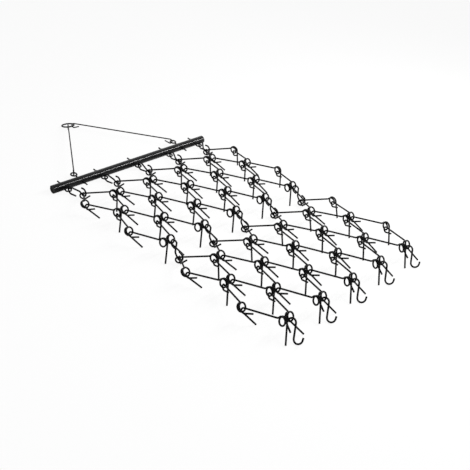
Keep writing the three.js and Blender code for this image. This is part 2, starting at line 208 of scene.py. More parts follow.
def linear_from_hex(code: str) -> Colour:
    """Turns an sRGB hex colour to linear values.

    Args:
        code: six hex digits, with or without a leading #.

    Returns:
        Linear red, green and blue, and an alpha of 1.
    """
    code = code.lstrip("#")
    values = [int(code[i:i + 2], 16) / 255 for i in (0, 2, 4)]
    red, green, blue = (
        v / SRGB_SLOPE if v <= SRGB_KNEE
        else ((v + SRGB_OFFSET) / (1 + SRGB_OFFSET)) ** SRGB_POWER
        for v in values)
    return (red, green, blue, 1.0)


def add_node(
    tree: bpy.types.NodeTree,
    kind: str,
    settings: Optional[dict[str, Any]] = None,
    links: Optional[dict[Any, bpy.types.NodeSocket]] = None,
) -> bpy.types.Node:
    """Adds a node with its settings and its input links.

    Args:
        tree: the node tree that gets the node.
        kind: Blender's name of the node's type.
        settings: attributes, or input values where the key names or numbers an input.
        links: sockets that feed the node's inputs, by input name or number.

    Returns:
        The new node.
    """
    node = tree.nodes.new(kind)
    for key, value in (settings or {}).items():
        if isinstance(key, str) and hasattr(node, key):
            setattr(node, key, value)
        else:
            node.inputs[key].default_value = value
    for key, socket in (links or {}).items():
        tree.links.new(socket, node.inputs[key])
    return node


@dataclass(frozen=True)
class BlackCoat:
    """A black coat on steel, with a fine peel and soft worn patches.

    Attributes:
        name: the material's name.
        colour: hex colour of the fresh coat.
        worn_colour: hex colour where it is worn.
        roughness: middle roughness.
        roughness_spread: how far the roughness goes to either side of it.
        peel_mm: width of the peel's waves.
        peel_depth_mm: depth of the peel's waves.
        patch_mm: width of the worn patches.
        worn_share: how far the most worn patch goes to the worn colour.
        sheen_level: specular level of the film.
    """

    name: str
    colour: str
    worn_colour: str
    roughness: float
    roughness_spread: float
    peel_mm: float
    peel_depth_mm: float
    patch_mm: float
    worn_share: float
    sheen_level: float

    # Noise values between which the coat goes from fresh to worn.
    worn_from: ClassVar[float] = 0.52
    worn_to: ClassVar[float] = 0.78
    # Noise values between which the roughness goes over its whole spread.
    gloss_from: ClassVar[float] = 0.3
    gloss_to: ClassVar[float] = 0.7
    # Detail and roughness of the noise that makes the patches and the peel.
    patch_detail: ClassVar[float] = 4.0
    patch_grain: ClassVar[float] = 0.55
    peel_detail: ClassVar[float] = 2.0
    peel_grain: ClassVar[float] = 0.4
    peel_strength: ClassVar[float] = 0.6
    # The index of refraction of a film of paint or oil.
    film_index: ClassVar[float] = 1.5

    def build(self) -> bpy.types.Material:
        """Makes the material.

        Returns:
            The material, with its colour, roughness and bump from noise of real size.
        """
        material = bpy.data.materials.new(self.name)
        material.use_nodes = True
        tree = material.node_tree
        tree.nodes.clear()
        place = add_node(tree, "ShaderNodeTexCoord").outputs["Object"]
        patches = add_node(
            tree, "ShaderNodeTexNoise",
            {"Scale": 1 / (self.patch_mm * MM), "Detail": self.patch_detail,
             "Roughness": self.patch_grain},
            {"Vector": place})
        worn = add_node(
            tree, "ShaderNodeMapRange",
            {"From Min": self.worn_from, "From Max": self.worn_to,
             "To Min": 0.0, "To Max": self.worn_share},
            {"Value": patches.outputs["Fac"]})
        colour = add_node(
            tree, "ShaderNodeMix",
            {"data_type": "RGBA", 6: linear_from_hex(self.colour),
             7: linear_from_hex(self.worn_colour)},
            {0: worn.outputs["Result"]})
        gloss = add_node(
            tree, "ShaderNodeMapRange",
            {"From Min": self.gloss_from, "From Max": self.gloss_to,
             "To Min": self.roughness - self.roughness_spread,
             "To Max": self.roughness + self.roughness_spread},
            {"Value": patches.outputs["Fac"]})
        peel = add_node(
            tree, "ShaderNodeTexNoise",
            {"Scale": 1 / (self.peel_mm * MM), "Detail": self.peel_detail,
             "Roughness": self.peel_grain},
            {"Vector": place})
        bump = add_node(
            tree, "ShaderNodeBump",
            {"Strength": self.peel_strength, "Distance": self.peel_depth_mm * MM},
            {"Height": peel.outputs["Fac"]})
        shader = add_node(
            tree, "ShaderNodeBsdfPrincipled",
            {"Metallic": 0.0, "IOR": self.film_index, "Specular IOR Level": self.sheen_level},
            {"Base Color": colour.outputs[2], "Roughness": gloss.outputs["Result"],
             "Normal": bump.outputs["Normal"]})
        add_node(tree, "ShaderNodeOutputMaterial", {}, {"Surface": shader.outputs["BSDF"]})
        return material


# Powder coat, baked on the tube: an even semi-gloss skin with a fine orange peel.
POWDER_COAT = BlackCoat(
    name="black_powder_coated_steel", colour="#0b0b0c", worn_colour="#151516",
    roughness=0.14, roughness_spread=0.03, peel_mm=1.6, peel_depth_mm=0.008,
    patch_mm=70.0, worn_share=0.6, sheen_level=0.16)
# Dipped enamel on the bent rods: darker, with soft runs and dull patches from handling.
DIPPED_ENAMEL = BlackCoat(
    name="black_dipped_enamel_rod", colour="#060607", worn_colour="#121110",
    roughness=0.28, roughness_spread=0.07, peel_mm=3.0, peel_depth_mm=0.06,
    patch_mm=35.0, worn_share=0.7, sheen_level=0.06)
# Black oxide and oil on bought hardware: thin and satin, a little greyer where it rubs.
BLACK_OXIDE = BlackCoat(
    name="black_oxide_hardware", colour="#08080a", worn_colour="#1a1a1b",
    roughness=0.32, roughness_spread=0.08, peel_mm=1.2, peel_depth_mm=0.03,
    patch_mm=18.0, worn_share=0.8, sheen_level=0.08)

_MADE: dict[str, bpy.types.Material] = {}


def finish_for(slot: Slot) -> bpy.types.Material:
    """Gives the one material of a slot, made when it is first asked for.

    Args:
        slot: the record's material slot.

    Returns:
        The slot's material.
    """
    coat = {Slot.BAR: POWDER_COAT, Slot.ROD: DIPPED_ENAMEL, Slot.HARDWARE: BLACK_OXIDE}[slot]
    if coat.name not in _MADE:
        _MADE[coat.name] = coat.build()
    return _MADE[coat.name]


# ---------------------------------------------------------------- paths and meshes


def arc(centre: Vector, across: Vector, up: Vector, radius: float,
        start: float, end: float) -> list[Vector]:
    """Points on an arc.

    Args:
        centre: the arc's centre.
        across: unit direction of angle 0.
        up: unit direction of a quarter turn.
        radius: the arc's radius.
        start: first angle.
        end: last angle.

    Returns:
        The points from start to end.
    """
    count = max(1, math.ceil(abs(end - start) / ARC_STEP))
    angles = [start + (end - start) * i / count for i in range(count + 1)]
    return [centre + across * (radius * math.cos(a)) + up * (radius * math.sin(a)) for a in angles]


def rounded(points: Sequence[Vector], radius: float) -> list[Vector]:
    """Rounds the sharp corners of a path.

    Args:
        points: the path's corners.
        radius: bend radius at a sharp corner.

    Returns:
        The path with each sharp corner replaced by a smooth bend.
    """
    path = [points[0]]
    for before, here, after in zip(points, points[1:], points[2:]):
        arriving, leaving = here - before, after - here
        turn = arriving.angle(leaving)
        if turn < STRAIGHT_TURN:
            path.append(here)
            continue
        most = BEND_SHARE * min(arriving.length, leaving.length)
        trim = min(radius * math.tan(turn / 2), most)
        first = here - arriving.normalized() * trim
        last = here + leaving.normalized() * trim
        count = max(BEND_STEPS, math.ceil(turn / ARC_STEP))
        for i in range(count + 1):
            t = i / count
            path.append(first * (1 - t) ** 2 + here * (2 * t * (1 - t)) + last * t ** 2)
    path.append(points[-1])
    return path


@dataclass
class MeshParts:
    """Vertices and faces of one object, gathered in millimetres."""

    vertices: list[Vector] = field(default_factory=list)
    faces: list[tuple[int, ...]] = field(default_factory=list)

    def rings(self, rings: Sequence[Sequence[Vector]], closed: bool) -> None:
        """Joins rings of points into a skin, with a flat face at each end of an open one.

        Args:
            rings: rings with the same count of points.
            closed: whether the last ring joins the first.
        """
        base, size = len(self.vertices), len(rings[0])
        for ring in rings:
            self.vertices.extend(ring)
        count = len(rings)
        for i in range(count if closed else count - 1):
            a, b = base + i * size, base + ((i + 1) % count) * size
            for j in range(size):
                k = (j + 1) % size
                self.faces.append((a + j, a + k, b + k, b + j))
        if not closed:
            self.faces.append(tuple(base + j for j in reversed(range(size))))
            self.faces.append(tuple(base + (count - 1) * size + j for j in range(size)))

    def bar(self, path: Sequence[Vector], diameter: float, closed: bool = False,
            sides: int = ROD_SIDES, chamfer: float = CUT_CHAMFER) -> None:
        """Sweeps a round bar along a path.

        Args:
            path: the bar's centreline.
            diameter: the bar's diameter.
            closed: whether the path's end joins its start.
            sides: facets round the bar.
            chamfer: the cut ends' broken edge.
        """
        tangents = []
        count = len(path)
        for i, here in enumerate(path):
            before = path[i - 1] if i or closed else here
            after = path[(i + 1) % count] if i < count - 1 or closed else here
            first = (here - before).normalized() if before is not here else Vector()
            second = (after - here).normalized() if after is not here else Vector()
            tangents.append((first + second).normalized())
        side = tangents[0].orthogonal().normalized()
        sides_along = [side]
        for old, new in zip(tangents, tangents[1:]):
            turn = old.rotation_difference(new)
            side = (turn @ side).normalized()
            side = (side - new * side.dot(new)).normalized()
            sides_along.append(side)
        twist = 0.0
        if closed:
            end = tangents[-1].rotation_difference(tangents[0]) @ sides_along[-1]
            other = tangents[0].cross(sides_along[0])
            twist = -math.atan2(end.dot(other), end.dot(sides_along[0]))

        def ring(i: int, radius: float, along: float) -> list[Vector]:
            """One ring of the skin.

            Args:
                i: number of the path's point.
                radius: the ring's radius.
                along: how far the ring is moved along the bar.

            Returns:
                The ring's points.
            """
            middle = path[i] + tangents[i] * along
            spin = Quaternion(tangents[i], twist * i / count)
            across = spin @ sides_along[i]
            up = tangents[i].cross(across)
            angles = [2 * math.pi * j / sides for j in range(sides)]
            return [middle + (across * math.cos(a) + up * math.sin(a)) * radius for a in angles]

        radius = diameter / 2
        skin = [ring(i, radius, 0.0) for i in range(count)]
        if not closed:
            skin[0] = ring(0, radius, chamfer)
            skin[-1] = ring(count - 1, radius, -chamfer)
            skin.insert(0, ring(0, radius - chamfer, 0.0))
            skin.append(ring(count - 1, radius - chamfer, 0.0))
        self.rings(skin, closed)

    def turned(self, profile: Sequence[tuple[float, float]], sides: int,
               corners: Optional[Callable[[float], float]] = None) -> None:
        """Turns a profile about the X axis.

        Args:
            profile: places along X with the radius there.
            sides: facets round the axis.
            corners: a factor on the radius by angle, for a hexagon.
        """
        skin = []
        for x, radius in profile:
            ring = []
            for j in range(sides):
                a = 2 * math.pi * j / sides
                r = radius * (corners(a) if corners else 1.0)
                ring.append(Vector((x, r * math.cos(a), r * math.sin(a))))
            skin.append(ring)
        self.rings(skin, closed=False)

    def moved(self, matrix: Matrix) -> "MeshParts":
        """Gives a moved copy.

        Args:
            matrix: the move. Where it mirrors, the faces are turned round.

        Returns:
            The copy.
        """
        flip = matrix.to_3x3().determinant() < 0
        faces = [tuple(reversed(f)) for f in self.faces] if flip else list(self.faces)
        return MeshParts([matrix @ v for v in self.vertices], faces)

    def add(self, other: "MeshParts") -> None:
        """Takes in another set of parts.

        Args:
            other: the parts to take in.
        """
        base = len(self.vertices)
        self.vertices.extend(other.vertices)
        self.faces.extend(tuple(base + i for i in f) for f in other.faces)


def make_piece(name: str, parts: MeshParts, slot: Slot, body: str,
               nodes: Sequence[str]) -> bpy.types.Object:
    """Makes one object of the dressed model.

    Args:
        name: the object's name.
        parts: its mesh, in millimetres from the drawbar's resting place.
        slot: the record's material slot.
        body: the body that it rides on.
        nodes: the CAD nodes that it stands for.

    Returns:
        The new object.
    """
    mesh = bpy.data.meshes.new(name)
    mesh.from_pydata([tuple((v + ORIGIN) * MM) for v in parts.vertices], [], parts.faces)
    mesh.update()
    mesh.polygons.foreach_set("use_smooth", [True] * len(mesh.polygons))
    mesh.set_sharp_from_angle(angle=SHARP_ANGLE)
    mesh.materials.append(finish_for(slot))
    piece = bpy.data.objects.new(name, mesh)
    bpy.context.scene.collection.objects.link(piece)
    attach(piece, body)
    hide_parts(*nodes)
    LOG.info("%s: %d faces, rides on %s", name, len(parts.faces), body)
    return piece


# ---------------------------------------------------------------- tine rods


@dataclass(frozen=True)
class RowPlan:
    """How one row's rods sit in the row's own frame, whose hinge is at the origin.

    Attributes:
        anchor_height: height of the eyes' centres.
        eye_side: how far an eye stands to the side of its column.
        reach: how far an eye's centre lies ahead of its anchor, along the shank.
        run: how far back the rings' centres are.
        rise: height of the rings' centres.
        tails: the points of an eye's cut tail, each as a distance back from the eye and a
            height over the eye's lowest point.
    """

    anchor_height: float
    eye_side: float
    reach: float
    run: float
    rise: float
    tails: Pairs


@dataclass
class TineRods:
    """The bent rods of the mat: an upright eye, a shank, a ring coil and a straight tine."""

    sizes: MatSizes
    bend_radius: float = 12.0
    # The round coil has the same mean size as the faceted one that it stands for.
    coil_radius: float = 22.2
    coil_start: float = math.radians(60)
    coil_end: float = math.radians(540)
    tine_start: float = math.radians(570)
    # The shank comes in this far along the coil, whose regular points then start.
    shank_lead: float = math.radians(4)
    coil_first: float = math.radians(102)
    coil_step: float = math.radians(12)
    # What hangs in a ring rests between these two angles of its first turn.
    seat_angles: tuple[float, float] = (math.radians(240), math.radians(300))
    lean_up: Vector = field(init=False)
    lean_back: Vector = field(init=False)
    seat: Vector = field(init=False)
    front_plan: RowPlan = field(init=False)
    link_plan: RowPlan = field(init=False)

    def __post_init__(self) -> None:
        """Works out the rings' lean, the seat in a ring and the two plans of a row."""
        sizes, lean = self.sizes, self.sizes.ring_lean
        self.lean_up = Vector((math.sin(lean), 0, math.cos(lean)))
        self.lean_back = Vector((-math.cos(lean), 0, math.sin(lean)))
        low, high = (self.coil_point(Vector(), a, sizes.ring_radius) for a in self.seat_angles)
        self.seat = (low + high) / 2
        self.front_plan = RowPlan(
            -sizes.front_eye_drop, 0.0, sizes.front_eye_reach, sizes.front_run,
            -sizes.front_eye_drop - self.seat.z,
            ((sizes.eye_tail, sizes.eye_tail_rise), (sizes.front_tail_flat, 0.0)))
        self.link_plan = RowPlan(
            0.0, sizes.ring_spread + sizes.eye_shift, -sizes.eye_play,
            sizes.link_pitch + self.seat.x, -self.seat.z,
            ((sizes.eye_tail, sizes.eye_tail_rise),))

    def coil_point(self, centre: Vector, angle: float, radius: float) -> Vector:
        """A point on a ring coil.

        Args:
            centre: the ring's centre.
            angle: the angle round the coil, from its outer side.
            radius: the coil's radius.

        Returns:
            The point, which moves back along the coil's axis as the angle grows.
        """
        climb = self.sizes.coil_pitch * (angle - self.coil_start) / (2 * math.pi)
        across = Vector((0, radius * math.cos(angle), 0))
        return centre + across + self.lean_up * (radius * math.sin(angle)) + self.lean_back * climb

    def tip(self, centre: Vector) -> Vector:
        """The end of a tine.

        Args:
            centre: the centre of the tine's ring.

        Returns:
            The middle of the cut end.
        """
        sizes = self.sizes
        root = self.coil_point(centre, self.coil_end, sizes.ring_radius)
        root.y += sizes.tine_length * math.sin(sizes.tine_splay)
        return root - self.lean_up * (sizes.tine_length * math.cos(sizes.tine_splay))

    def right_hand_rod(self, plan: RowPlan, front: float, column: float) -> MeshParts:
        """One rod that runs back and to the right.

        Args:
            plan: how the row's rods sit.
            front: the column of its eye.
            column: the column of its ring.

        Returns:
            The rod in the row's frame.
        """
        sizes = self.sizes
        anchor = Vector((0, front - plan.eye_side, plan.anchor_height))
        centre = Vector((-plan.run, column + sizes.ring_spread, plan.rise))
        arrival = self.coil_point(centre, self.coil_start, sizes.ring_radius)
        forward = Vector((anchor.x - arrival.x, anchor.y - arrival.y, 0)).normalized()
        up = Vector((0, 0, 1))
        eye = anchor + forward * plan.reach
        path = [eye - forward * along + up * (rise - sizes.eye_radius)
                for along, rise in plan.tails]
        path += arc(eye, forward, up, sizes.eye_radius, -math.pi / 2, math.pi / 2)
        path.append(self.coil_point(centre, self.coil_start + self.shank_lead, self.coil_radius))
        angle = self.coil_first
        while angle < self.tine_start + self.coil_step / 2:
            path.append(self.coil_point(centre, angle, self.coil_radius))
            angle += self.coil_step
        path.append(self.tip(centre))
        parts = MeshParts()
        parts.bar(rounded(path, self.bend_radius), sizes.wire)
        return parts

    def rod(self, hand: Hand, plan: RowPlan, front: float, column: float) -> MeshParts:
        """One rod of either hand.

        Args:
            hand: which way the rod runs.
            plan: how the row's rods sit.
            front: the column of its eye.
            column: the column of its ring.

        Returns:
            The rod in the row's frame.
        """
        sign = hand.value
        rod = self.right_hand_rod(plan, sign * front, sign * column)
        return rod if hand is Hand.RIGHT else rod.moved(Matrix.Diagonal((1, -1, 1, 1)))

    def pitch(self, hinge_height: float, plan: RowPlan) -> float:
        """The pitch at which a row's tine tips reach the ground.

        Args:
            hinge_height: height of the row's hinge.
            plan: how the row's rods sit.

        Returns:
            The row's turn about its hinge.
        """
        tip = self.tip(Vector((-plan.run, 0, plan.rise)))
        drop = self.sizes.tip_depth - hinge_height
        return math.asin(drop / math.hypot(tip.x, tip.z)) - math.atan2(tip.z, -tip.x)

    def clusters(self, plan: RowPlan, front_count: int) -> list[MeshParts]:
        """The rods of a row, grouped by the column where their rings meet.

        Args:
            plan: how the row's rods sit.
            front_count: how many columns of eyes the row has.

        Returns:
            One set of parts for each column of rings, from left to right.
        """
        sizes = self.sizes
        rear_count = sizes.columns + 1 if front_count == sizes.columns else sizes.columns
        groups = []
        for column in columns_at(rear_count, sizes.column_pitch):
            group = MeshParts()
            for hand in Hand:
                front = column + hand.value * sizes.column_pitch / 2
                if abs(front) < front_count * sizes.column_pitch / 2:
                    group.add(self.rod(hand, plan, front, column))
            groups.append(group)
        return groups


def columns_at(count: int, pitch: float) -> list[float]:
    """Sideways places of evenly spaced columns, from left to right."""
    return [((count - 1) / 2 - i) * pitch for i in range(count)]


def row_frame(hinge: Vector, pitch: float) -> Matrix:
    """The frame of a row or of a set of hooks."""
    return Matrix.Translation(hinge) @ Matrix.Rotation(pitch, 4, "Y")


@dataclass
class MatRows:
    """The eight rows of rods in two sections, built row by row from the hinge ahead of each."""

    rods: TineRods
    section_rows: int = 4

    def build_row(self, number: int, hinge: Vector) -> Vector:
        """Builds one row.

        Args:
            number: the row's number, from 1 at the drawbar.
            hinge: the row's hinge.

        Returns:
            The seat that the row's rings give to what hangs on them.
        """
        first_of_section = number % self.section_rows == 1
        plan = self.rods.front_plan if first_of_section else self.rods.link_plan
        columns = self.rods.sizes.columns
        front_count = columns if number % 2 else columns + 1
        matrix = row_frame(hinge, self.rods.pitch(hinge.z, plan))
        groups = [group.moved(matrix) for group in self.rods.clusters(plan, front_count)]
        body = f"row_{number}"
        if first_of_section:
            whole = MeshParts()
            for group in groups:
                whole.add(group)
            make_piece(f"{body}_rods", whole, Slot.ROD, body, [body])
        else:
            for i, group in enumerate(groups, 1):
                make_piece(f"{body}_{i}_rods", group, Slot.ROD, body, [f"{body}_{i}"])
        seat = Vector((self.rods.seat.x - plan.run, 0, self.rods.seat.z + plan.rise))
        return matrix @ seat

    def build_section(self, section: int, hinge: Vector) -> Vector:
        """Builds the rows of one section.

        Args:
            section: the section's number, from 1 at the drawbar.
            hinge: the hinge of its first row.

        Returns:
            The seat that its last row gives to what hangs on it.
        """
        last = section * self.section_rows
        for number in range(last - self.section_rows + 1, last + 1):
            hinge = self.build_row(number, hinge)
        return hinge


# ---------------------------------------------------------------- hooks


@dataclass
class SHooks:
    """S-hooks: the front loop opens below, and the rear loop above."""

    sizes: MatSizes
    # The round loops have the same mean size as the faceted ones that they stand for.
    loop_radius: float = 23.5
    bend_radius: float = 26.0
    cut_chamfer: float = 1.2

    def hook(self, aside: float, leg: float, mouth: float = 0.0) -> MeshParts:
        """One hook, with its front loop at the origin and its rear loop set aside sideways.

        Args:
            aside: how far the rear loop stands to the left of the front one.
            leg: how far the front loop's cut end runs back.
            mouth: how much sooner than its top the rear loop stops.

        Returns:
            The hook in its own level frame.
        """
        sizes, radius = self.sizes, self.loop_radius
        contact = math.acos(2 * radius / sizes.hook_centres)
        sweep = math.pi * 1.5 - contact
        along = math.sqrt(sizes.hook_centres ** 2 - (2 * radius) ** 2)
        ahead, up = Vector((1, 0, 0)), Vector((0, 0, 1))
        rear_centre = Vector((-sizes.hook_centres, aside, 0))
        front = arc(Vector(), ahead, up, radius, -math.pi / 2, sweep - math.pi / 2)
        end = mouth - contact - sweep
        rear = arc(rear_centre, ahead, up, radius, -contact, end)
        cut = rear[-1] + (ahead * math.sin(end) - up * math.cos(end)) * sizes.hook_leg
        straight = front[-1].copy()
        straight.y = aside
        straight = straight.lerp(rear[0], 1 - sizes.hook_straight / along)
        path = [Vector((-leg, 0, -radius)), *front, straight, *rear, cut]
        parts = MeshParts()
        parts.bar(rounded(path, self.bend_radius), sizes.hook_wire, chamfer=self.cut_chamfer)
        return parts

    def frame_at(self, seat: Vector, play: float, angle: float, rear_height: float) -> Matrix:
        """The frame of a hook whose front loop sits off its seat by the play in the loop.

        Args:
            seat: the middle of the bar that the front loop goes round.
            play: distance from the seat to the loop's centre.
            angle: direction of the loop's centre from the seat, up from straight back.
            rear_height: height of the rear loop's centre.

        Returns:
            The hook's frame.
        """
        front = seat + Vector((-play * math.cos(angle), 0, play * math.sin(angle)))
        return row_frame(front, math.asin((rear_height - front.z) / self.sizes.hook_centres))

    def pulled(self, seat: Vector, play: float, rear_height: float) -> float:
        """The angle of a hook that is pulled straight back from its seat."""
        return math.asin((rear_height - seat.z) / (self.sizes.hook_centres + play))

    def build_set(self, prefix: str, body: str, matrix: Matrix, leg: float,
                  seats: Sequence[float], loops: Sequence[float]) -> Vector:
        """Builds a row of hooks that swing together.

        Args:
            prefix: the CAD nodes' name without its number.
            body: the body that they ride on.
            matrix: the frame of the set.
            leg: how far the front loops' cut ends run back.
            seats: sideways places of the front loops.
            loops: sideways places of the rear loops.

        Returns:
            The centre of the rear loops.
        """
        for i, (seat, loop) in enumerate(zip(seats, loops), 1):
            hook = self.hook(loop - seat, leg).moved(matrix @ Matrix.Translation((0, seat, 0)))
            make_piece(f"{prefix}_{i}_bar", hook, Slot.HARDWARE, body, [f"{prefix}_{i}"])
        centre = matrix @ Vector((-self.sizes.hook_centres, 0, 0))
        return Vector((centre.x, 0, centre.z))

    def build_rear(self, seat: Vector, places: Sequence[float]) -> None:
        """Builds the free hooks at the rear, which have fallen over onto the ground.

        Args:
            seat: the seat on row 8's rings.
            places: sideways places of the hooks.
        """
        sizes = self.sizes
        drop = sizes.hook_radius * math.cos(sizes.rear_hook_lean) + sizes.rear_loop_rise
        height = drop + sizes.hook_corner
        local = Vector((0, 0, seat.z))
        pull = self.pulled(local, sizes.rear_hook_play, height)
        level = self.frame_at(local, sizes.rear_hook_play, pull, height)
        matrix = level @ Matrix.Rotation(sizes.rear_hook_lean, 4, "X")
        yaw = Matrix.Rotation(-sizes.rear_hook_yaw, 4, "Z")
        for i, y in enumerate(places, 1):
            turn = Matrix.Translation((seat.x, y, 0)) @ yaw
            hook = self.hook(0, sizes.rear_hook_leg, sizes.rear_mouth).moved(turn @ matrix)
            node = f"rear_hook_{i}"
            make_piece(f"{node}_bar", hook, Slot.HARDWARE, node, [node])


# ---------------------------------------------------------------- drawbar and tow triangle


@dataclass
class Drawbar:
    """The tube with its closed ends, and the bolts through it."""

    sizes: BarSizes
    wall: float = 3.2
    # The tube's rounded edge, and the facets along and round it.
    edge: float = 1.6
    edge_angles: tuple[float, ...] = (math.radians(25), math.radians(50), math.radians(75))
    tube_spans: int = 12
    tube_sides: int = 64
    # The weld between disc and wall: depth below the rim, and distance inside the wall.
    weld_fillet: Pairs = ((0.9, 2.2), (0.5, 1.2), (0.1, 0.4), (0.0, -0.4))
    # The forged eye's half gap, which the shank's neck fills.
    eye_gap: float = math.radians(4)
    eye_bite: float = 0.2
    eye_sides: int = 16
    # The neck: distance from the eye, and share of the bolt's radius.
    neck: Pairs = ((0.0, 0.5), (1.5, 1.12), (5.0, 1.02), (8.0, 1.0))
    thread_pitch: float = 1.5
    thread_depth: float = 0.55
    thread_sides: int = 20
    # The thread starts this far inside the tube's skin, after a plain run.
    thread_cover: float = 1.0
    plain_run: float = 2.0
    run_out: float = 0.1
    end_chamfer: float = 1.2
    # Shares of the nut's half flats at its bore and at its broken corners, and their depth.
    nut_bore: float = 0.55
    nut_corner: float = 0.86
    nut_chamfer: float = 1.3
    nut_sides: int = 36
    matrix: Matrix = field(init=False)

    def __post_init__(self) -> None:
        """Works out the bar's frame, which is rolled so that its rear eyes lie low."""
        roll = Matrix.Rotation(-self.sizes.roll, 4, "Y")
        self.matrix = Matrix.Translation((0, 0, self.sizes.radius)) @ roll

    def tube(self) -> MeshParts:
        """The tube, with a welded disc let into each end.

        Returns:
            The tube along Y, centred on the bar's axis.
        """
        s = self.sizes
        half, edge = s.length / 2, self.edge
        lip = s.radius - self.wall
        end = [(half - self.weld_fillet[0][0], POINT_RADIUS)]
        end += [(half - depth, lip - inside) for depth, inside in self.weld_fillet]
        end.append((half, s.radius - edge))
        end += [(half - edge + edge * math.cos(a), s.radius - edge + edge * math.sin(a))
                for a in self.edge_angles]
        end.append((half - edge, s.radius))
        span = (s.length - 2 * edge) / self.tube_spans
        spans = [half - edge - span * i for i in range(1, self.tube_spans)]
        profile = end + [(x, s.radius) for x in spans] + [(-x, r) for x, r in reversed(end)]
        parts = MeshParts()
        parts.turned(list(reversed(profile)), sides=self.tube_sides)
        return parts.moved(Matrix.Rotation(math.pi / 2, 4, "Z"))

    def bolt(self, facing: int, reach: float) -> MeshParts:
        """An eye bolt with its nut, along X.

        Args:
            facing: 1 for an eye in front of the bar, -1 for one behind it.
            reach: distance from the bar's axis to the eye's centre.

        Returns:
            The bolt, centred on the bar's axis.
        """
        s = self.sizes
        parts = MeshParts()
        eye = arc(Vector((reach, 0, 0)), Vector((-1, 0, 0)), Vector((0, 1, 0)), s.eye_radius,
                  self.eye_gap, 2 * math.pi - self.eye_gap)
        parts.bar(eye, s.bolt, sides=self.eye_sides, chamfer=s.gap)
        radius = s.bolt / 2
        start = reach - s.eye_radius + radius * self.eye_bite
        thread_end = -s.stub
        profile = [(start - along, radius * share) for along, share in self.neck]
        place = self.thread_cover - s.radius
        profile.append((place + self.plain_run, radius))
        while place > thread_end + 2 * self.thread_pitch:
            profile.append((place, radius))
            profile.append((place - self.thread_pitch / 2, radius - self.thread_depth))
            place -= self.thread_pitch
        profile += [(place, radius - self.run_out), (thread_end, radius - self.end_chamfer),
                    (thread_end, POINT_RADIUS)]
        parts.turned(list(reversed(profile)), sides=self.thread_sides)
        parts.add(self.nut())
        return parts if facing > 0 else parts.moved(Matrix.Diagonal((-1, 1, 1, 1)))

    def nut(self) -> MeshParts:
        """A hexagon nut with broken corners.

        Returns:
            The nut, against the bar on the side away from the eye.
        """
        s = self.sizes
        flat = s.nut_flats / 2

        def hexagon(angle: float) -> float:
            """Radius factor of a hexagon over its flats."""
            part = (angle + math.pi / 6) % (math.pi / 3) - math.pi / 6
            return 1 / math.cos(part)

        near, far = -s.radius - s.gap, -s.radius - s.gap - s.nut_thickness
        bore, corner, chamfer = flat * self.nut_bore, flat * self.nut_corner, self.nut_chamfer
        nut = MeshParts()
        nut.turned([(far, bore), (far, corner), (far + chamfer, flat), (near - chamfer, flat),
                    (near, corner), (near, bore)], sides=self.nut_sides, corners=hexagon)
        return nut

    def build(self) -> None:
        """Makes the tube and all seven bolts."""
        s = self.sizes
        make_piece("drawbar_tube", self.tube().moved(self.matrix), Slot.BAR, "drawbar", ["drawbar"])
        for i, y in enumerate(columns_at(MAT.columns, s.eye_pitch), 1):
            bolt = self.bolt(-1, s.eye_reach).moved(self.matrix @ Matrix.Translation((0, y, 0)))
            make_piece(f"eye_bolt_{i}_forged", bolt, Slot.HARDWARE, "drawbar", [f"eye_bolt_{i}"])
        for i, y in enumerate((s.tow_eye_offset, -s.tow_eye_offset), 1):
            bolt = self.bolt(1, s.tow_eye_reach).moved(self.matrix @ Matrix.Translation((0, y, 0)))
            node = f"tow_eye_bolt_{i}"
            make_piece(f"{node}_forged", bolt, Slot.HARDWARE, "drawbar", [node])

    def on_bar(self, along: float) -> Vector:
        """A place on the rolled bar's centre plane."""
        return self.matrix @ Vector((along, 0, 0))


